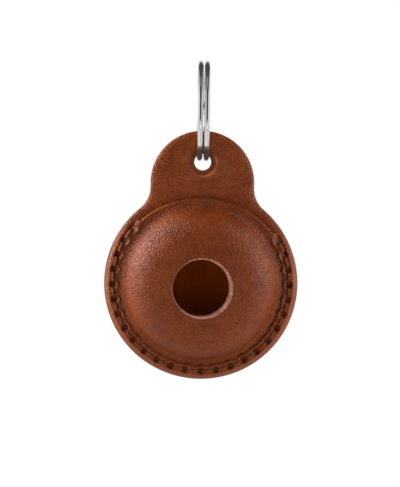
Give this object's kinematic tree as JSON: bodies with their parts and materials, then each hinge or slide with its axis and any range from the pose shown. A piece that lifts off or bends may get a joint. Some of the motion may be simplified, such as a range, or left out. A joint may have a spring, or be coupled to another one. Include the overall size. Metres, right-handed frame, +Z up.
{
  "type": "tracker tag holder",
  "caption": "Moulded leather pocket for a round tracker tag, stitched to a back panel whose tab hangs on a split ring.",
  "frame": {"origin": "centre of the split ring", "axes": "+Z up with the holder hanging, +X along the ring's own axis, the domed front faces -Y"},
  "size_m": [0.0464, 0.024, 0.0766],
  "materials": {
    "front_leather": "satin chestnut leather with a fine grain",
    "back_leather": "satin chestnut leather, polished edge",
    "thread": "twisted waxed thread in the leather's brown",
    "ring_steel": "bright nickel-plated spring steel"
  },
  "bodies": {
    "ring": {"split_ring": "ring_steel"},
    "holder": {"back_panel": "back_leather", "front_panel": "front_leather", "needle_thread": "thread", "bobbin_thread": "thread"}
  },
  "joints": [
    {"name": "swing", "type": "hinge", "parent": "ring", "child": "holder", "pos_m": [0, 0, -0.01229], "axis": [0, 1, 0], "range_deg": [-120, 120]}
  ]
}
